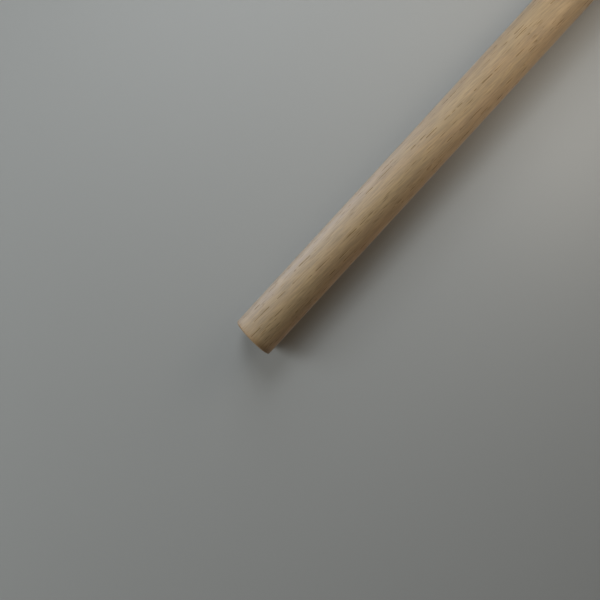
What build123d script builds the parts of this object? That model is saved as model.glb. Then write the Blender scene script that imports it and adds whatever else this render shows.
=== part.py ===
from build123d import *
from math import sin, cos, tan, radians
import os

# Wooden dowel rod: one plain round hardwood rod, sawn to length by hand. The lower
# end is cut square. The upper cut runs a little out of square, so the rod is longer
# on its -X side. The sharp rim of each cut is sanded to a small radius.
# Millimetres. The rod stands on its lower end with +Z along its axis, and the
# origin is the centre of the lower end face.

# ---- driving dimensions ----
ROD_DIAMETER = 20.0  # round stock, turned and sanded
ROD_LENGTH = 300.0  # on the axis, end face to end face
CUT_TILT = 3.0  # degrees that the upper cut is out of square, lower towards +X
RIM_RADIUS = 0.8  # rounding of the cut rims

rod_radius = ROD_DIAMETER / 2
cut_rise = rod_radius * tan(radians(CUT_TILT))  # cut's high side above the axis
upper_cut = Plane(
    origin=(0, 0, ROD_LENGTH),
    z_dir=(sin(radians(CUT_TILT)), 0, cos(radians(CUT_TILT))),
)

with BuildPart() as dowel_rod:
    with BuildSketch(Plane.XY):
        Circle(rod_radius)
    extrude(amount=ROD_LENGTH + cut_rise)
    split(bisect_by=upper_cut, keep=Keep.BOTTOM)
    end_faces = dowel_rod.faces().filter_by(GeomType.PLANE).sort_by(Axis.Z)
    fillet(end_faces[0].edges() + end_faces[-1].edges(), radius=RIM_RADIUS)
dowel_rod.part.label = "dowel_rod"

os.makedirs("parts", exist_ok=True)
export_step(dowel_rod.part, "parts/dowel_rod.step")
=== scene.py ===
"""A wooden dowel rod, dressed: one plain round rod of pale hardwood, milled, crosscut and sanded.

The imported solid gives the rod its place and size. This script stands a finely modelled rod in for
it, cut from a block of wood whose fibres, vessels and rings run through the whole solid, and puts
it in a plain pale studio. Lengths are in metres unless a name ends in _mm.
"""

import logging
import math
from dataclasses import dataclass, field
from enum import Enum

import bpy
from mathutils import Matrix, Vector

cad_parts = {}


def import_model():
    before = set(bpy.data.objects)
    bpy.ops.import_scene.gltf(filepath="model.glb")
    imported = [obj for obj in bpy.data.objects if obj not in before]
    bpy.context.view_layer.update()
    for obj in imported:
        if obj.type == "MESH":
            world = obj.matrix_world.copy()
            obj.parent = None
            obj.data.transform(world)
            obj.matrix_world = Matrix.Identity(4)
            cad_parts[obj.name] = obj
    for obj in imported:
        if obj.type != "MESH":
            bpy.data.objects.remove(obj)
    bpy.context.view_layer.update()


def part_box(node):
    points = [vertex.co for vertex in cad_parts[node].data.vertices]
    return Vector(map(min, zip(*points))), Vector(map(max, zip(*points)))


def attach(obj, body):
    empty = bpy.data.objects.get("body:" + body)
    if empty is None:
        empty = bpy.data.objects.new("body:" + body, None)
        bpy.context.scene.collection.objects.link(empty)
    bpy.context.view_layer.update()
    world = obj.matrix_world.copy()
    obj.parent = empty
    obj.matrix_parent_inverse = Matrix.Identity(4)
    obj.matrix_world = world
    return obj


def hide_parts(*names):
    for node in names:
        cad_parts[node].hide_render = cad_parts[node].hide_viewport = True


MM = 0.001
ROD_NODE = "dowel_rod"
ROD_BODY = "root"
MIX_SHARE = 0  # the inputs and the output of a Mix node that mixes colours
MIX_FROM = 6
MIX_TO = 7
MIX_COLOUR = 2
END_GRAIN = "end_grain"  # vertex attribute: 0 on the side of the rod, 1 on its cut ends
NEAR_END = "near_ends"  # vertex attribute: 1 at the ends, fading to 0 a few millimetres in

log = logging.getLogger("dowel_rod")


def linear(hex_colour: str) -> tuple[float, float, float, float]:
    """Turns an sRGB hex colour into linear light.

    Args:
        hex_colour: six hex digits, such as "c9ab89".

    Returns:
        Linear red, green and blue from 0 to 1, and an alpha of 1.
    """
    channels = [int(hex_colour[i : i + 2], 16) / 255 for i in (0, 2, 4)]
    return (
        *(c / 12.92 if c <= 0.04045 else ((c + 0.055) / 1.055) ** 2.4 for c in channels),
        1.0,
    )


def add_node(
    tree: bpy.types.NodeTree, kind: str, inputs: dict | None = None, **settings: object
) -> bpy.types.Node:
    """Adds one node to a tree, with its settings, values and links.

    Args:
        tree: the node tree to add to.
        kind: the node's type name, such as "ShaderNodeMath".
        inputs: input name or number to a value, or to the output socket that feeds it.
        settings: the node's own properties by name.

    Returns:
        The new node.
    """
    node = tree.nodes.new(kind)
    for name, value in settings.items():
        setattr(node, name, value)
    for key, value in (inputs or {}).items():
        if isinstance(value, bpy.types.NodeSocket):
            tree.links.new(value, node.inputs[key])
        else:
            node.inputs[key].default_value = value
    return node


@dataclass(frozen=True)
class GrainFields:
    """The sockets that say, at each point of the wood, what it holds there. All run from 0 to 1."""

    vessels: bpy.types.NodeSocket
    fibres: bpy.types.NodeSocket
    rings: bpy.types.NodeSocket
    rays: bpy.types.NodeSocket
    patches: bpy.types.NodeSocket
    tint: bpy.types.NodeSocket


@dataclass(frozen=True)
class StraightGrain:
    """The inside of a straight-grained, open-pored tropical hardwood, with sizes in millimetres.

    The same nodes serve the rod's shape and its finish, so each groove has its dark line in it.
    """

    slope_deg: float = 3.0  # the grain leans to +X as it rises
    lean_deg: float = 0.8  # and a little to +Y
    seed: float = 37.0  # which part of the tree the rod was cut from
    wander_mm: float = 2.0  # how far the grain strays, and over what width and length
    wander_across_mm: float = 26.0
    wander_along_mm: float = 75.0
    short_pitch_mm: float = 0.55  # single vessels: how far apart, and how long a cell is
    short_run_mm: float = 9.0
    short_core: float = 0.08  # in cells, where a vessel is fully open
    short_edge: float = 0.29  # in cells, where it ends
    line_pitch_mm: float = 1.4  # vessels in line, one above another
    line_core_mm: float = 0.08
    line_edge_mm: float = 0.19
    line_shift: float = 50.0  # how far apart in the noise two lines may read their dashes
    dash_mm: float = 5.4
    dash_start: tuple[float, float] = (0.47, 0.52)  # noise from closed to open
    cluster_across_mm: float = 6.0
    cluster_along_mm: float = 55.0
    cluster_edge: tuple[float, float] = (0.42, 0.56)  # noise from outside to inside a cluster
    cluster_crowd: tuple[float, float] = (0.25, 0.85)  # how open its single vessels are there
    fibre_width_mm: float = 0.6
    fibre_length_mm: float = 8.0
    ring_pitch_mm: float = 3.4
    pith_mm: tuple[float, float] = (-38.0, 55.0)  # the tree's middle, from the rod's axis
    ray_width_mm: float = 0.22
    ray_length_mm: float = 5.0
    patch_across_mm: float = 8.0  # of paler wood, and of rosier wood
    patch_along_mm: float = 34.0

    def lay_out(
        self, tree: bpy.types.NodeTree, place: bpy.types.NodeSocket
    ) -> GrainFields:
        """Adds the nodes that read the wood at a point.

        Args:
            tree: a shader tree or a geometry tree.
            place: the point, in metres, in the rod's own frame.

        Returns:
            The fields at that point.
        """
        turned = add_node(
            tree,
            "ShaderNodeVectorRotate",
            {
                "Vector": place,
                "Rotation": (math.radians(self.lean_deg), -math.radians(self.slope_deg), 0),
            },
            rotation_type="EULER_XYZ",
        )
        in_mm = add_node(
            tree,
            "ShaderNodeVectorMath",
            {0: turned.outputs[0], 1: (1 / MM,) * 3, 2: (0.0, 0.0, self.seed * self.patch_along_mm)},
            operation="MULTIPLY_ADD",
        )
        wander = self._stretched_noise(
            tree, in_mm.outputs[0], self.wander_across_mm, self.wander_along_mm, detail=1.0
        )
        drift = add_node(  # about 0, because noise lies about a half
            tree,
            "ShaderNodeVectorMath",
            {0: wander.outputs["Color"], 1: (0.5, 0.5, 0.5)},
            operation="SUBTRACT",
        )
        wood = add_node(
            tree,
            "ShaderNodeVectorMath",
            {
                0: drift.outputs[0],
                1: (self.wander_mm, self.wander_mm, 0.0),
                2: in_mm.outputs[0],
            },
            operation="MULTIPLY_ADD",
        ).outputs[0]
        fibres = self._stretched_noise(
            tree, wood, self.fibre_width_mm, self.fibre_length_mm, detail=2.0
        )
        patches = self._stretched_noise(
            tree, wood, self.patch_across_mm, self.patch_along_mm, detail=2.0
        )
        tint = add_node(tree, "ShaderNodeSeparateXYZ", {0: patches.outputs["Color"]})
        rings, rays = self._rings_and_rays(tree, wood)
        return GrainFields(
            vessels=self._vessels(tree, wood),
            fibres=fibres.outputs[0],
            rings=rings,
            rays=rays,
            patches=patches.outputs[0],
            tint=tint.outputs[1],
        )

    def _stretched_noise(
        self,
        tree: bpy.types.NodeTree,
        wood: bpy.types.NodeSocket,
        across_mm: float,
        along_mm: float,
        detail: float,
    ) -> bpy.types.Node:
        """Adds noise whose features are across_mm wide and along_mm long.

        Args:
            tree: the tree to add to.
            wood: the point in the wood's own frame, in millimetres.
            across_mm: feature size across the grain.
            along_mm: feature size along the grain.
            detail: octaves past the first.

        Returns:
            The noise node.
        """
        scaled = add_node(
            tree,
            "ShaderNodeVectorMath",
            {0: wood, 1: (1 / across_mm, 1 / across_mm, 1 / along_mm)},
            operation="MULTIPLY",
        )
        return add_node(
            tree,
            "ShaderNodeTexNoise",
            {"Vector": scaled.outputs[0], "Scale": 1.0, "Detail": detail},
        )

    def _vessels(
        self, tree: bpy.types.NodeTree, wood: bpy.types.NodeSocket
    ) -> bpy.types.NodeSocket:
        """Adds the vessels, single and in line, in loose clusters.

        Args:
            tree: the tree to add to.
            wood: the point in the wood's own frame, in millimetres.

        Returns:
            The socket that is 1 inside a vessel.
        """
        cluster = self._stretched_noise(
            tree, wood, self.cluster_across_mm, self.cluster_along_mm, detail=1.0
        )
        crowd = add_node(
            tree,
            "ShaderNodeMapRange",
            {
                "Value": cluster.outputs[0],
                "From Min": self.cluster_edge[0],
                "From Max": self.cluster_edge[1],
                "To Min": self.cluster_crowd[0],
                "To Max": self.cluster_crowd[1],
            },
        )
        single = add_node(
            tree,
            "ShaderNodeMath",
            {0: self._single_vessels(tree, wood), 1: crowd.outputs[0]},
            operation="MULTIPLY",
        )
        return add_node(
            tree,
            "ShaderNodeMath",
            {0: single.outputs[0], 1: self._lined_vessels(tree, wood)},
            operation="MAXIMUM",
        ).outputs[0]

    def _single_vessels(
        self, tree: bpy.types.NodeTree, wood: bpy.types.NodeSocket
    ) -> bpy.types.NodeSocket:
        """Adds vessels that stand alone: thin spindles along the grain.

        Args:
            tree: the tree to add to.
            wood: the point in the wood's own frame, in millimetres.

        Returns:
            The socket that is 1 inside a vessel.
        """
        cells = add_node(
            tree,
            "ShaderNodeVectorMath",
            {
                0: wood,
                1: (1 / self.short_pitch_mm, 1 / self.short_pitch_mm, 1 / self.short_run_mm),
            },
            operation="MULTIPLY",
        )
        spindles = add_node(
            tree, "ShaderNodeTexVoronoi", {"Vector": cells.outputs[0], "Scale": 1.0}
        )
        return add_node(
            tree,
            "ShaderNodeMapRange",
            {
                "Value": spindles.outputs["Distance"],
                "From Min": self.short_edge,
                "From Max": self.short_core,
            },
            interpolation_type="SMOOTHSTEP",
        ).outputs[0]

    def _lined_vessels(
        self, tree: bpy.types.NodeTree, wood: bpy.types.NodeSocket
    ) -> bpy.types.NodeSocket:
        """Adds vessels that follow one another up the tree, so each line shows as dashes.

        Args:
            tree: the tree to add to.
            wood: the point in the wood's own frame, in millimetres.

        Returns:
            The socket that is 1 inside a vessel.
        """
        columns = add_node(
            tree,
            "ShaderNodeTexVoronoi",
            {"Vector": wood, "Scale": 1 / self.line_pitch_mm},
            voronoi_dimensions="2D",
        )
        inside = add_node(
            tree,
            "ShaderNodeMapRange",
            {
                "Value": columns.outputs["Distance"],
                "From Min": self.line_edge_mm / self.line_pitch_mm,
                "From Max": self.line_core_mm / self.line_pitch_mm,
            },
            interpolation_type="SMOOTHSTEP",
        )
        draw = add_node(
            tree,
            "ShaderNodeVectorMath",
            {0: columns.outputs["Color"], 1: (self.line_shift, self.line_shift, 0.0)},
            operation="MULTIPLY",
        )
        along = add_node(
            tree,
            "ShaderNodeVectorMath",
            {0: wood, 1: (0.0, 0.0, 1 / self.dash_mm), 2: draw.outputs[0]},
            operation="MULTIPLY_ADD",
        )
        pieces = add_node(
            tree,
            "ShaderNodeTexNoise",
            {"Vector": along.outputs[0], "Scale": 1.0, "Detail": 1.0},
        )
        dashes = add_node(
            tree,
            "ShaderNodeMapRange",
            {
                "Value": pieces.outputs[0],
                "From Min": self.dash_start[0],
                "From Max": self.dash_start[1],
            },
            interpolation_type="SMOOTHSTEP",
        )
        return add_node(
            tree,
            "ShaderNodeMath",
            {0: inside.outputs[0], 1: dashes.outputs[0]},
            operation="MULTIPLY",
        ).outputs[0]

    def _rings_and_rays(
        self, tree: bpy.types.NodeTree, wood: bpy.types.NodeSocket
    ) -> tuple[bpy.types.NodeSocket, bpy.types.NodeSocket]:
        """Adds the faint growth rings round the pith, and the rays that run out from it.

        Args:
            tree: the tree to add to.
            wood: the point in the wood's own frame, in millimetres.

        Returns:
            The socket that rises and falls once a ring, and the one that is high in a ray.
        """
        from_pith = add_node(
            tree,
            "ShaderNodeVectorMath",
            {0: wood, 1: (1.0, 1.0, 0.0), 2: (-self.pith_mm[0], -self.pith_mm[1], 0.0)},
            operation="MULTIPLY_ADD",
        )
        distance = add_node(
            tree, "ShaderNodeVectorMath", {0: from_pith.outputs[0]}, operation="LENGTH"
        ).outputs["Value"]
        turn = add_node(
            tree,
            "ShaderNodeMath",
            {0: distance, 1: math.tau / self.ring_pitch_mm},
            operation="MULTIPLY",
        )
        wave = add_node(tree, "ShaderNodeMath", {0: turn.outputs[0]}, operation="SINE")
        rings = add_node(
            tree, "ShaderNodeMapRange", {"Value": wave.outputs[0], "From Min": -1.0}
        )
        offset = add_node(tree, "ShaderNodeSeparateXYZ", {0: from_pith.outputs[0]})
        bearing = add_node(
            tree,
            "ShaderNodeMath",
            {0: offset.outputs["X"], 1: offset.outputs["Y"]},
            operation="ARCTAN2",
        )
        across_rays = add_node(
            tree,
            "ShaderNodeMath",
            {0: bearing.outputs[0], 1: math.hypot(*self.pith_mm) / self.ray_width_mm},
            operation="MULTIPLY",
        )
        along_rays = add_node(
            tree,
            "ShaderNodeMath",
            {0: distance, 1: 1 / self.ray_length_mm},
            operation="MULTIPLY",
        )
        spot = add_node(
            tree,
            "ShaderNodeCombineXYZ",
            {"X": across_rays.outputs[0], "Y": along_rays.outputs[0]},
        )
        rays = add_node(
            tree,
            "ShaderNodeTexNoise",
            {"Vector": spot.outputs[0], "Scale": 1.0, "Detail": 0.0},
            noise_dimensions="2D",
        )
        return rings.outputs[0], rays.outputs[0]


@dataclass(frozen=True)
class SandedHardwood:
    """Ramin, a pale open-pored hardwood: milled round and sanded, with no oil or varnish.

    To the eye it is matt and straw-coloured, with a dry bloom at glancing angles from the cut
    fibre ends, short dark vessel lines, and warmer, darker wood where the fibres are cut across.
    """

    straw: str = "8d754f"
    pale: str = "99805a"
    rosy: str = "947652"
    rosy_share: float = 0.4  # at most
    rosy_edge: tuple[float, float] = (0.45, 0.7)  # patch noise from straw to rosy
    streak_edge: tuple[float, float] = (0.3, 0.7)  # fibre noise from dark to light
    streak_shade: tuple[float, float] = (0.78, 1.15)  # what a streak multiplies the colour by
    ring_shade: tuple[float, float] = (0.95, 1.03)  # what a ring multiplies the colour by
    vessel: str = "4a2c0c"
    vessel_share: float = 0.6  # of the vessel's colour, where it is fully open
    cut_across: str = "8e7250"
    cut_across_share: float = 0.8
    ray: str = "a58c68"
    ray_edge: tuple[float, float] = (0.5, 0.72)  # ray noise from plain wood to a ray
    end_band: str = "8a6634"  # a warmer, darker band at each end
    end_band_share: float = 0.5
    painted_end_shade: str = "4a3516"  # painted shade on one side of each end, the -X side turned from the main lamps; at the upper cut its long side
    painted_end_shade_share: float = 0.5
    painted_end_shade_reach_mm: tuple[float, float] = (2.0, -8.0)  # along X, from no painted shade to full painted shade
    roughness: tuple[float, float] = (0.55, 0.68)  # between fibres, and on them
    ior: float = 1.5
    specular: float = 0.5  # on solid wood. An open vessel has none
    bloom: float = 0.22  # weight of the sheen on solid wood
    bloom_roughness: float = 0.5
    vessel_depth_mm: float = 0.03  # drawn on top of what is cut into the shape
    fibre_depth_mm: float = 0.015

    def make(self, grain: StraightGrain) -> bpy.types.Material:
        """Builds the material.

        Args:
            grain: the inside of the wood.

        Returns:
            The finished material.
        """
        material = bpy.data.materials.new("sanded_ramin")
        material.use_nodes = True
        tree = material.node_tree
        tree.nodes.clear()
        place = add_node(tree, "ShaderNodeTexCoord")
        wood = grain.lay_out(tree, place.outputs["Object"])
        colour = self._colour(tree, wood, place.outputs["Object"])
        rough = add_node(
            tree,
            "ShaderNodeMapRange",
            {"Value": wood.fibres, "To Min": self.roughness[0], "To Max": self.roughness[1]},
        )
        gloss = add_node(
            tree,
            "ShaderNodeMapRange",
            {"Value": wood.vessels, "To Min": self.specular, "To Max": 0.0},
        )
        dust = add_node(
            tree,
            "ShaderNodeMapRange",
            {"Value": wood.vessels, "To Min": self.bloom, "To Max": 0.0},
        )
        shader = add_node(
            tree,
            "ShaderNodeBsdfPrincipled",
            {
                "Base Color": colour,
                "Roughness": rough.outputs[0],
                "IOR": self.ior,
                "Specular IOR Level": gloss.outputs[0],
                "Sheen Weight": dust.outputs[0],
                "Sheen Roughness": self.bloom_roughness,
                "Normal": self._relief(tree, wood),
            },
        )
        add_node(tree, "ShaderNodeOutputMaterial", {"Surface": shader.outputs[0]})
        return material

    def _colour(
        self, tree: bpy.types.NodeTree, wood: GrainFields, place: bpy.types.NodeSocket
    ) -> bpy.types.NodeSocket:
        """Adds the colour nodes.

        Args:
            tree: the material's tree.
            wood: the fields of the wood.
            place: the point, in metres, in the rod's own frame.

        Returns:
            The colour socket.
        """
        ground = add_node(
            tree,
            "ShaderNodeMix",
            {MIX_SHARE: wood.patches, MIX_FROM: linear(self.straw), MIX_TO: linear(self.pale)},
            data_type="RGBA",
        )
        blush = add_node(
            tree,
            "ShaderNodeMapRange",
            {
                "Value": wood.tint,
                "From Min": self.rosy_edge[0],
                "From Max": self.rosy_edge[1],
                "To Max": self.rosy_share,
            },
        )
        tinted = add_node(
            tree,
            "ShaderNodeMix",
            {
                MIX_SHARE: blush.outputs[0],
                MIX_FROM: ground.outputs[MIX_COLOUR],
                MIX_TO: linear(self.rosy),
            },
            data_type="RGBA",
        )
        streak = add_node(
            tree,
            "ShaderNodeMapRange",
            {
                "Value": wood.fibres,
                "From Min": self.streak_edge[0],
                "From Max": self.streak_edge[1],
                "To Min": self.streak_shade[0],
                "To Max": self.streak_shade[1],
            },
        )
        banding = add_node(
            tree,
            "ShaderNodeMapRange",
            {"Value": wood.rings, "To Min": self.ring_shade[0], "To Max": self.ring_shade[1]},
        )
        shade = add_node(
            tree,
            "ShaderNodeMath",
            {0: streak.outputs[0], 1: banding.outputs[0]},
            operation="MULTIPLY",
        )
        shaded = add_node(
            tree,
            "ShaderNodeVectorMath",
            {0: tinted.outputs[MIX_COLOUR], "Scale": shade.outputs[0]},
            operation="SCALE",
        )
        end_closeness = add_node(tree, "ShaderNodeAttribute", attribute_name=NEAR_END)
        end_band_amount = add_node(
            tree,
            "ShaderNodeMath",
            {0: end_closeness.outputs["Fac"], 1: self.end_band_share},
            operation="MULTIPLY",
        )
        with_end_band = add_node(
            tree,
            "ShaderNodeMix",
            {MIX_SHARE: end_band_amount.outputs[0], MIX_FROM: shaded.outputs[0], MIX_TO: linear(self.end_band)},
            data_type="RGBA",
        )
        # painted shade: the -X side of each end is darkened where the rod's end corner lies in shade
        across = add_node(tree, "ShaderNodeSeparateXYZ", {0: place})
        painted_shade_side = add_node(
            tree,
            "ShaderNodeMapRange",
            {
                "Value": across.outputs["X"],
                "From Min": self.painted_end_shade_reach_mm[0] * MM,
                "From Max": self.painted_end_shade_reach_mm[1] * MM,
                "To Max": self.painted_end_shade_share,
            },
            interpolation_type="SMOOTHSTEP",
        )
        painted_shade_mask = add_node(
            tree,
            "ShaderNodeMath",
            {0: end_closeness.outputs["Fac"], 1: painted_shade_side.outputs[0]},
            operation="MULTIPLY",
        )
        with_painted_shade = add_node(
            tree,
            "ShaderNodeMix",
            {
                MIX_SHARE: painted_shade_mask.outputs[0],
                MIX_FROM: with_end_band.outputs[MIX_COLOUR],
                MIX_TO: linear(self.painted_end_shade),
            },
            data_type="RGBA",
        )
        ray_share = add_node(
            tree,
            "ShaderNodeMapRange",
            {"Value": wood.rays, "From Min": self.ray_edge[0], "From Max": self.ray_edge[1]},
        )
        end_colour = add_node(
            tree,
            "ShaderNodeMix",
            {
                MIX_SHARE: ray_share.outputs[0],
                MIX_FROM: linear(self.cut_across),
                MIX_TO: linear(self.ray),
            },
            data_type="RGBA",
        )
        ends = add_node(tree, "ShaderNodeAttribute", attribute_name=END_GRAIN)
        end_share = add_node(
            tree,
            "ShaderNodeMath",
            {0: ends.outputs["Fac"], 1: self.cut_across_share},
            operation="MULTIPLY",
        )
        with_ends = add_node(
            tree,
            "ShaderNodeMix",
            {
                MIX_SHARE: end_share.outputs[0],
                MIX_FROM: with_painted_shade.outputs[MIX_COLOUR],
                MIX_TO: end_colour.outputs[MIX_COLOUR],
            },
            data_type="RGBA",
        )
        line = add_node(
            tree,
            "ShaderNodeMath",
            {0: wood.vessels, 1: self.vessel_share},
            operation="MULTIPLY",
        )
        return add_node(
            tree,
            "ShaderNodeMix",
            {
                MIX_SHARE: line.outputs[0],
                MIX_FROM: with_ends.outputs[MIX_COLOUR],
                MIX_TO: linear(self.vessel),
            },
            data_type="RGBA",
        ).outputs[MIX_COLOUR]

    def _relief(
        self, tree: bpy.types.NodeTree, wood: GrainFields
    ) -> bpy.types.NodeSocket:
        """Adds the fine relief: raised fibres, and vessels that sanding left open.

        Args:
            tree: the material's tree.
            wood: the fields of the wood.

        Returns:
            The normal socket.
        """
        raised = add_node(
            tree,
            "ShaderNodeBump",
            {
                "Strength": 1.0,
                "Distance": self.fibre_depth_mm * MM,
                "Height": wood.fibres,
            },
        )
        return add_node(
            tree,
            "ShaderNodeBump",
            {
                "Strength": 1.0,
                "Distance": self.vessel_depth_mm * MM,
                "Height": wood.vessels,
                "Normal": raised.outputs[0],
            },
            invert=True,
        ).outputs[0]


@dataclass
class DowelRod:
    """The rod: a round bar with a cut face and a sanded rim at each end."""

    low: Vector
    high: Vector
    grain: StraightGrain
    finish: SandedHardwood
    rim_radius: float = 0.8 * MM
    quarter: int = 80  # facets in a quarter turn
    side_rows: int = 230
    rim_rows: int = 4
    vessel_depth_mm: float = 0.06  # cut into the shape
    fibre_depth_mm: float = 0.02
    cut_tilt_deg: float = 3.0  # the upper cut is out of square, lower to +X
    cut_edge: tuple[float, float] = (0.1, 0.75)  # how upright a face is, from side to end grain
    end_band_reach: float = 3.5 * MM  # how far in from each end the warmer, darker band reaches

    @property
    def radius(self) -> float:
        """Half the rod's thickness."""
        return (self.high.x - self.low.x) / 2

    @property
    def cut_slope(self) -> float:
        """How far the upper cut drops for each unit towards +X."""
        return math.tan(math.radians(self.cut_tilt_deg))

    @property
    def length(self) -> float:
        """The rod's length on its axis. The upper cut's high side stands above that."""
        return self.high.z - self.low.z - (self.radius - self.rim_radius) * self.cut_slope

    def build(self) -> bpy.types.Object:
        """Makes the rod's mesh and dresses it.

        Returns:
            The finished object, a plain mesh at the origin.
        """
        tree = self._tree()
        rod = bpy.data.objects.new("dowel_rod_wood", bpy.data.meshes.new("blank"))
        bpy.context.scene.collection.objects.link(rod)
        modifier = rod.modifiers.new("rod", "NODES")
        modifier.node_group = tree
        values = {
            "Radius": self.radius,
            "Length": self.length,
            "Rim Radius": self.rim_radius,
            "Cut Slope": self.cut_slope,
            "End Band Reach": self.end_band_reach,
            "Finish": self.finish.make(self.grain),
        }
        for item in tree.interface.items_tree:
            if item.item_type == "SOCKET" and item.name in values:
                modifier[item.identifier] = values[item.name]
        posed = rod.evaluated_get(bpy.context.evaluated_depsgraph_get())
        solid = bpy.data.meshes.new_from_object(posed)
        rod.modifiers.remove(modifier)
        rod.data = solid
        solid.name = rod.name
        return rod

    def _tree(self) -> bpy.types.NodeTree:
        """Builds the geometry tree: a box of quads, made round, rounded at its rims and grained.

        Returns:
            The tree.
        """
        tree = bpy.data.node_groups.new("round_rod", "GeometryNodeTree")
        for name, kind in (
            ("Radius", "NodeSocketFloat"),
            ("Length", "NodeSocketFloat"),
            ("Rim Radius", "NodeSocketFloat"),
            ("Cut Slope", "NodeSocketFloat"),
            ("End Band Reach", "NodeSocketFloat"),
            ("Finish", "NodeSocketMaterial"),
        ):
            tree.interface.new_socket(name, in_out="INPUT", socket_type=kind)
        tree.interface.new_socket("Rod", in_out="OUTPUT", socket_type="NodeSocketGeometry")
        sizes = add_node(tree, "NodeGroupInput").outputs
        rows = self.side_rows + 2 * self.rim_rows
        block = add_node(  # from -1 to 1 across, and one unit tall
            tree,
            "GeometryNodeMeshCube",
            {
                "Size": (2.0, 2.0, 1.0),
                "Vertices X": self.quarter + 1,
                "Vertices Y": self.quarter + 1,
                "Vertices Z": rows + 1,
            },
        )
        core, outward = self._rounded(tree, sizes, self.rim_rows / rows)
        skin = add_node(
            tree,
            "ShaderNodeVectorMath",
            {0: outward, "Scale": sizes["Rim Radius"]},
            operation="SCALE",
        )
        surface = add_node(
            tree,
            "ShaderNodeVectorMath",
            {0: core, 1: skin.outputs[0]},
            operation="ADD",
        )
        relief = self._relief(tree, surface.outputs[0])
        sunk = add_node(
            tree,
            "ShaderNodeVectorMath",
            {0: outward, "Scale": relief},
            operation="SCALE",
        )
        place = add_node(
            tree,
            "ShaderNodeVectorMath",
            {0: surface.outputs[0], 1: sunk.outputs[0]},
            operation="ADD",
        )
        facing = add_node(tree, "ShaderNodeSeparateXYZ", {0: outward})
        upright = add_node(
            tree, "ShaderNodeMath", {0: facing.outputs["Z"]}, operation="ABSOLUTE"
        )
        cut = add_node(
            tree,
            "ShaderNodeMapRange",
            {
                "Value": upright.outputs[0],
                "From Min": self.cut_edge[0],
                "From Max": self.cut_edge[1],
            },
            interpolation_type="SMOOTHSTEP",
        )
        marked = add_node(
            tree,
            "GeometryNodeStoreNamedAttribute",
            {"Geometry": block.outputs["Mesh"], "Name": END_GRAIN, "Value": cut.outputs[0]},
            data_type="FLOAT",
            domain="POINT",
        )
        level = add_node(tree, "ShaderNodeSeparateXYZ", {0: surface.outputs[0]})
        from_top = add_node(
            tree,
            "ShaderNodeMath",
            {0: sizes["Length"], 1: level.outputs["Z"]},
            operation="SUBTRACT",
        )
        from_end = add_node(
            tree,
            "ShaderNodeMath",
            {0: from_top.outputs[0], 1: level.outputs["Z"]},
            operation="MINIMUM",
        )
        end_closeness = add_node(
            tree,
            "ShaderNodeMapRange",
            {"Value": from_end.outputs[0], "From Min": sizes["End Band Reach"], "From Max": 0.0},
            interpolation_type="SMOOTHSTEP",
        )
        near_ends = add_node(
            tree,
            "GeometryNodeStoreNamedAttribute",
            {"Geometry": marked.outputs[0], "Name": NEAR_END, "Value": end_closeness.outputs[0]},
            data_type="FLOAT",
            domain="POINT",
        )
        shaped = add_node(
            tree,
            "GeometryNodeSetPosition",
            {"Geometry": near_ends.outputs[0], "Position": place.outputs[0]},
        )
        smooth = add_node(tree, "GeometryNodeSetShadeSmooth", {0: shaped.outputs[0]})
        whole = add_node(tree, "GeometryNodeRealizeInstances", {0: smooth.outputs[0]})
        dressed = add_node(
            tree,
            "GeometryNodeSetMaterial",
            {"Geometry": whole.outputs[0], "Material": sizes["Finish"]},
        )
        add_node(tree, "NodeGroupOutput", {0: dressed.outputs[0]})
        return tree

    def _rounded(
        self,
        tree: bpy.types.NodeTree,
        sizes: bpy.types.bpy_prop_collection,
        rim_share: float,
    ) -> tuple[bpy.types.NodeSocket, bpy.types.NodeSocket]:
        """Maps the block's square section to a circle, and its sharp ends to rounded rims.

        Each point gets a place on a sharp-edged rod and one on a core that is a rim radius
        smaller all round. The way from the second to the first leads out of the surface.

        Args:
            tree: the geometry tree.
            sizes: the outputs of the group's input node.
            rim_share: the share of the block's rows that each rim takes.

        Returns:
            The centre of each point's rounding, and the direction out of the surface there.
        """
        spot = add_node(tree, "GeometryNodeInputPosition")
        block = add_node(tree, "ShaderNodeSeparateXYZ", {0: spot.outputs[0]}).outputs
        off_x = add_node(tree, "ShaderNodeMath", {0: block["X"]}, operation="ABSOLUTE")
        off_y = add_node(tree, "ShaderNodeMath", {0: block["Y"]}, operation="ABSOLUTE")
        major = add_node(
            tree,
            "ShaderNodeMath",
            {0: off_x.outputs[0], 1: off_y.outputs[0]},
            operation="MAXIMUM",
        )
        minor = add_node(
            tree,
            "ShaderNodeMath",
            {0: off_x.outputs[0], 1: off_y.outputs[0]},
            operation="MINIMUM",
        )
        share = add_node(
            tree,
            "ShaderNodeMath",
            {0: minor.outputs[0], 1: major.outputs[0]},
            operation="DIVIDE",
        )
        turn = add_node(  # at most an eighth of a turn
            tree,
            "ShaderNodeMath",
            {0: share.outputs[0], 1: math.pi / 4},
            operation="MULTIPLY",
        )
        long_side = add_node(tree, "ShaderNodeMath", {0: turn.outputs[0]}, operation="COSINE")
        short_side = add_node(tree, "ShaderNodeMath", {0: turn.outputs[0]}, operation="SINE")
        along_x = add_node(
            tree,
            "FunctionNodeCompare",
            {0: off_x.outputs[0], 1: off_y.outputs[0]},
            data_type="FLOAT",
            operation="GREATER_EQUAL",
        )
        heading = {}
        for axis, when_x, when_y in (
            ("X", long_side, short_side),
            ("Y", short_side, long_side),
        ):
            reach = add_node(
                tree,
                "GeometryNodeSwitch",
                {
                    "Switch": along_x.outputs[0],
                    "False": when_y.outputs[0],
                    "True": when_x.outputs[0],
                },
                input_type="FLOAT",
            )
            side = add_node(tree, "ShaderNodeMath", {0: block[axis]}, operation="SIGN")
            heading[axis] = add_node(
                tree,
                "ShaderNodeMath",
                {0: reach.outputs[0], 1: side.outputs[0]},
                operation="MULTIPLY",
            )
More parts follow.
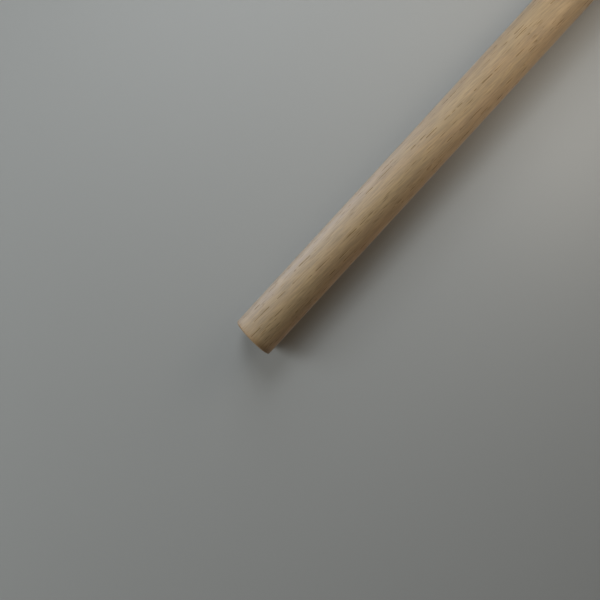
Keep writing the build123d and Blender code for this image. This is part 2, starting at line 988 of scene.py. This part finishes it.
        spoke = add_node(
            tree,
            "ShaderNodeCombineXYZ",
            {"X": heading["X"].outputs[0], "Y": heading["Y"].outputs[0]},
        )
        height = add_node(  # 0 at the lower end and 1 at the upper
            tree, "ShaderNodeMath", {0: block["Z"], 1: 0.5}, operation="ADD"
        )
        sharp_r = add_node(
            tree,
            "ShaderNodeMath",
            {0: major.outputs[0], 1: sizes["Radius"]},
            operation="MULTIPLY",
        )
        out_x = add_node(
            tree,
            "ShaderNodeMath",
            {0: heading["X"].outputs[0], 1: sharp_r.outputs[0]},
            operation="MULTIPLY",
        )
        drop = add_node(
            tree,
            "ShaderNodeMath",
            {0: out_x.outputs[0], 1: sizes["Cut Slope"]},
            operation="MULTIPLY",
        )
        top = add_node(
            tree,
            "ShaderNodeMath",
            {0: sizes["Length"], 1: drop.outputs[0]},
            operation="SUBTRACT",
        )
        below_rim = add_node(
            tree,
            "ShaderNodeMath",
            {0: top.outputs[0], 1: sizes["Rim Radius"]},
            operation="SUBTRACT",
        )
        lower = add_node(
            tree,
            "ShaderNodeMapRange",
            {
                "Value": height.outputs[0],
                "From Max": rim_share,
                "To Max": sizes["Rim Radius"],
            },
        )
        shaft = add_node(
            tree,
            "ShaderNodeMapRange",
            {
                "Value": height.outputs[0],
                "From Min": rim_share,
                "From Max": 1 - rim_share,
                "To Min": lower.outputs[0],
                "To Max": below_rim.outputs[0],
            },
        )
        sharp_z = add_node(
            tree,
            "ShaderNodeMapRange",
            {
                "Value": height.outputs[0],
                "From Min": 1 - rim_share,
                "To Min": shaft.outputs[0],
                "To Max": top.outputs[0],
            },
        )
        inner_radius = add_node(
            tree,
            "ShaderNodeMath",
            {0: sizes["Radius"], 1: sizes["Rim Radius"]},
            operation="SUBTRACT",
        )
        core_r = add_node(
            tree,
            "ShaderNodeMath",
            {0: sharp_r.outputs[0], 1: inner_radius.outputs[0]},
            operation="MINIMUM",
        )
        core_z = add_node(
            tree,
            "ShaderNodeClamp",
            {
                "Value": sharp_z.outputs[0],
                "Min": sizes["Rim Radius"],
                "Max": below_rim.outputs[0],
            },
        )
        points = []
        for reach, level in ((core_r, core_z), (sharp_r, sharp_z)):
            flat = add_node(
                tree,
                "ShaderNodeVectorMath",
                {0: spoke.outputs[0], "Scale": reach.outputs[0]},
                operation="SCALE",
            )
            lift = add_node(tree, "ShaderNodeCombineXYZ", {"Z": level.outputs[0]})
            points.append(
                add_node(
                    tree,
                    "ShaderNodeVectorMath",
                    {0: flat.outputs[0], 1: lift.outputs[0]},
                    operation="ADD",
                ).outputs[0]
            )
        core, sharp = points
        step = add_node(
            tree, "ShaderNodeVectorMath", {0: sharp, 1: core}, operation="SUBTRACT"
        )
        outward = add_node(
            tree, "ShaderNodeVectorMath", {0: step.outputs[0]}, operation="NORMALIZE"
        )
        return core, outward.outputs[0]

    def _relief(
        self, tree: bpy.types.NodeTree, surface: bpy.types.NodeSocket
    ) -> bpy.types.NodeSocket:
        """Adds what milling and sanding leave: open vessels and faintly raised fibres.

        Args:
            tree: the geometry tree.
            surface: the point on the plain rod.

        Returns:
            How far out each point moves, in metres. It is never positive.
        """
        wood = self.grain.lay_out(tree, surface)
        vessels = add_node(
            tree,
            "ShaderNodeMath",
            {0: wood.vessels, 1: -self.vessel_depth_mm * MM},
            operation="MULTIPLY",
        )
        fibres = add_node(
            tree,
            "ShaderNodeMath",
            {
                0: wood.fibres,
                1: self.fibre_depth_mm * MM,
                2: -self.fibre_depth_mm * MM,
            },
            operation="MULTIPLY_ADD",
        )
        return add_node(
            tree,
            "ShaderNodeMath",
            {0: vessels.outputs[0], 1: fibres.outputs[0]},
            operation="ADD",
        ).outputs[0]


@dataclass(frozen=True)
class PaleEmulsion:
    """Matt wall paint on a smooth sheet: pale, neutral and without gloss.

    Away from the rod the camera sees mostly a plain tone, however little lamplight gets there.
    """

    tone: str  # under the lamps
    far_tone: str  # away from the rod
    glow: float  # how much of the far tone the camera sees there
    lamplit_reach: float  # how far round its middle the lamps alone count
    fade: float  # over what distance beyond that the glow comes in
    roughness: float = 0.9

    def make(self, name: str, middle: Vector, one_sided: bool = False) -> bpy.types.Material:
        """Builds the paint.

        Args:
            name: the material's name.
            middle: the point that the lamplit reach is measured from.
            one_sided: whether the back of the sheet is left clear.

        Returns:
            The finished material.
        """
        material = bpy.data.materials.new(name)
        material.use_nodes = True
        tree = material.node_tree
        tree.nodes.clear()
        paint = add_node(
            tree,
            "ShaderNodeBsdfDiffuse",
            {"Color": linear(self.tone), "Roughness": self.roughness},
        )
        place = add_node(tree, "ShaderNodeTexCoord")
        away = add_node(
            tree,
            "ShaderNodeVectorMath",
            {0: place.outputs["Object"], 1: middle},
            operation="DISTANCE",
        )
        glow_share = add_node(
            tree,
            "ShaderNodeMapRange",
            {
                "Value": away.outputs["Value"],
                "From Min": self.lamplit_reach,
                "From Max": self.lamplit_reach + self.fade,
                "To Max": self.glow,
            },
            interpolation_type="SMOOTHSTEP",
        )
        path = add_node(tree, "ShaderNodeLightPath")
        seen_share = add_node(
            tree,
            "ShaderNodeMath",
            {0: glow_share.outputs[0], 1: path.outputs["Is Camera Ray"]},
            operation="MULTIPLY",
        )
        plain = add_node(tree, "ShaderNodeEmission", {"Color": linear(self.far_tone)})
        surface = add_node(
            tree,
            "ShaderNodeMixShader",
            {0: seen_share.outputs[0], 1: paint.outputs[0], 2: plain.outputs[0]},
        ).outputs[0]
        if one_sided:
            side = add_node(tree, "ShaderNodeNewGeometry")
            clear = add_node(tree, "ShaderNodeBsdfTransparent")
            surface = add_node(
                tree,
                "ShaderNodeMixShader",
                {0: side.outputs["Backfacing"], 1: surface, 2: clear.outputs[0]},
            ).outputs[0]
        add_node(tree, "ShaderNodeOutputMaterial", {"Surface": surface})
        return material


class Duty(Enum):
    """What a lamp is hung for."""

    LIGHT = "lights matt surfaces and shows in gloss"
    FILL = "lights matt surfaces and stays out of gloss"
    SHEEN = "shows in gloss alone"
    BACK = "a fill whose light is never passed on from one surface to another"


@dataclass(frozen=True)
class Lamp:
    """A square soft lamp, placed from the point on the rod's axis that it is aimed at."""

    name: str
    towards: tuple[float, float, float]  # the way from that point to the lamp
    distance: float
    size: float
    watts: float
    colour: str
    below: float = 0.0  # how far below the rod's top that point is
    duty: Duty = Duty.LIGHT

    def hang(self, rod_top: Vector) -> bpy.types.Object:
        """Hangs the lamp.

        Args:
            rod_top: the point on the rod's axis that is level with its top.

        Returns:
            The lamp object.
        """
        light = bpy.data.lights.new(self.name, "AREA")
        light.size = self.size
        light.energy = self.watts
        light.color = linear(self.colour)[:3]
        if self.duty is Duty.BACK:
            light.cycles.max_bounces = 0  # passed on, it would brighten the rod's shadow
        lamp = bpy.data.objects.new(self.name, light)
        bpy.context.scene.collection.objects.link(lamp)
        direction = Vector(self.towards).normalized()
        lamp.location = rod_top - Vector((0, 0, self.below)) + direction * self.distance
        lamp.rotation_euler = direction.to_track_quat("Z", "Y").to_euler()
        lamp.visible_camera = False
        lamp.visible_diffuse = self.duty is not Duty.SHEEN
        lamp.visible_glossy = self.duty in (Duty.LIGHT, Duty.SHEEN)
        return lamp


@dataclass
class Studio:
    """A pale floor, a pale board close behind the rod, soft lamps round it and an even sky."""

    rod: DowelRod
    reach: float = 12.0  # half the width of the floor and the board
    board_gap: float = 0.3 * MM
    sky_light: str = "ffe7c5"
    sky_light_strength: float = 0.07
    sky_seen: str = "d9dbd9"
    sky_seen_strength: float = 0.75
    floor_paint: PaleEmulsion = PaleEmulsion(
        tone="acaba6", far_tone="f2f1ec", glow=0.55, lamplit_reach=0.0, fade=0.3
    )
    board_paint: PaleEmulsion = PaleEmulsion(
        tone="acaba6", far_tone="b4b5b3", glow=0.75, lamplit_reach=0.21, fade=0.3
    )
    lamps: tuple[Lamp, ...] = field(  # name, way to it, distance, size, watts and colour
        default_factory=lambda: (
            Lamp("window", (0.5, -1.0, 0.78), 0.5, 0.2, 0.55, "ecf6ff"),
            Lamp("low_window", (1.3, -1.0, 0.78), 0.42, 0.17, 0.8, "ecf6ff"),
            Lamp("overhead", (0.74, -1.0, -0.68), 0.24, 0.08, 0.15, "ecf4ff"),
            Lamp("ceiling", (-0.3, -1.0, -1.92), 0.33, 0.3, 0.08, "fbf4ea", below=84 * MM),
            Lamp("skylight", (1.4, -1.0, -0.95), 0.25, 0.15, 0.225, "ecf4ff", below=100 * MM),
            Lamp("near_wall", (-0.87, -1.0, -0.46), 0.085, 0.05, 0.012, "fff6ee", below=130 * MM),
            Lamp("far_wall", (-0.15, -1.0, -1.2), 0.15, 0.08, 0.055, "fff8f0", below=130 * MM),
            Lamp("gloss", (1.0, 0.1, 0.0), 0.4, 0.28, 2.6, "dbe8ff", below=80 * MM, duty=Duty.SHEEN),
            Lamp("sheen", (0.6, -0.95, 0.0), 0.4, 0.3, 0.8, "f0f5ff", below=100 * MM, duty=Duty.SHEEN),
            Lamp("bounce", (-1.0, 0.4, 0.0), 0.22, 0.12, 0.11, "ffe6cc", below=90 * MM, duty=Duty.FILL),
            Lamp("back", (0.0, 1.0, 0.15), 0.8, 0.4, 7.8, "e6f0ff", below=140 * MM, duty=Duty.BACK),
            Lamp("low_wall", (-0.6, -0.8, 0.0), 0.16, 0.14, 0.035, "fff6ea", below=240 * MM),
        )
    )

    @property
    def rod_top(self) -> Vector:
        """The point on the rod's axis that is level with its top."""
        return Vector((0, 0, self.rod.high.z))

    def build(self) -> None:
        """Builds the floor, the board, the lamps and the sky."""
        self._sheet("floor", Matrix.Identity(4), self.floor_paint)
        upright = Matrix.Translation((0, self.rod.high.x + self.board_gap, 0))
        upright = upright @ Matrix.Rotation(math.pi / 2, 4, "X")
        board = self._sheet("board", upright, self.board_paint, one_sided=True)
        board.visible_shadow = False  # the lamps behind it reach the rod
        for lamp in self.lamps:
            lamp.hang(self.rod_top)
        self._sky()

    def _sheet(
        self, name: str, place: Matrix, paint: PaleEmulsion, one_sided: bool = False
    ) -> bpy.types.Object:
        """Lays a large flat sheet.

        Args:
            name: the sheet's name.
            place: where the sheet's middle and plane go.
            paint: what it is painted with.
            one_sided: whether it is clear from behind.

        Returns:
            The sheet object.
        """
        corners = [(-1, -1, 0), (1, -1, 0), (1, 1, 0), (-1, 1, 0)]
        mesh = bpy.data.meshes.new(name)
        mesh.from_pydata([place @ (Vector(c) * self.reach) for c in corners], [], [(0, 1, 2, 3)])
        mesh.materials.append(paint.make(f"{name}_paint", self.rod_top, one_sided))
        sheet = bpy.data.objects.new(name, mesh)
        bpy.context.scene.collection.objects.link(sheet)
        sheet.visible_diffuse = False  # it passes no light on to the rod's matt wood
        return sheet

    def _sky(self) -> None:
        """Sets an even sky that lights softly and is seen as a pale backdrop."""
        world = bpy.data.worlds.new("studio_sky")
        world.use_nodes = True
        tree = world.node_tree
        tree.nodes.clear()
        path = add_node(tree, "ShaderNodeLightPath")
        light = add_node(
            tree,
            "ShaderNodeBackground",
            {"Color": linear(self.sky_light), "Strength": self.sky_light_strength},
        )
        backdrop = add_node(
            tree,
            "ShaderNodeBackground",
            {"Color": linear(self.sky_seen), "Strength": self.sky_seen_strength},
        )
        mixed = add_node(
            tree,
            "ShaderNodeMixShader",
            {0: path.outputs["Is Camera Ray"], 1: light.outputs[0], 2: backdrop.outputs[0]},
        )
        add_node(tree, "ShaderNodeOutputWorld", {"Surface": mixed.outputs[0]})
        bpy.context.scene.world = world


@dataclass
class Viewpoint:
    """The camera, held level near the rod's upper end and rolled until the rod lies aslant."""

    rod: DowelRod
    lens_mm: float = 28.2
    near_clip: float = 10 * MM
    distance: float = 208 * MM
    below_top: float = 27.1 * MM
    beside: float = -4.0 * MM
    roll_deg: float = 222.6

    def build(self) -> bpy.types.Object:
        """Sets up the camera.

        Returns:
            The camera object.
        """
        camera = bpy.data.cameras.new("camera")
        camera.lens = self.lens_mm
        camera.clip_start = self.near_clip
        stand = bpy.data.objects.new("camera", camera)
        bpy.context.scene.collection.objects.link(stand)
        eye = Vector((self.beside, -self.distance, self.rod.high.z - self.below_top))
        level = Matrix.Rotation(math.pi / 2, 4, "X")
        roll = Matrix.Rotation(math.radians(self.roll_deg), 4, "Z")
        stand.matrix_world = Matrix.Translation(eye) @ level @ roll
        bpy.context.scene.camera = stand
        return stand


def main() -> None:
    """Builds the rod, the studio and the camera, in that order."""
    logging.basicConfig(level=logging.INFO, format="%(name)s: %(message)s")
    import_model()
    low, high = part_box(ROD_NODE)
    rod = DowelRod(low, high, StraightGrain(), SandedHardwood())
    wood = rod.build()
    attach(wood, ROD_BODY)
    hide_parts(ROD_NODE)
    log.info("%s: %d faces", wood.name, len(wood.data.polygons))
    Studio(rod).build()
    log.info("studio: floor, board, lamps and sky")
    Viewpoint(rod).build()
    log.info("camera set")
    bpy.context.scene.view_settings.view_transform = "Standard"


if __name__ == "__main__":
    main()
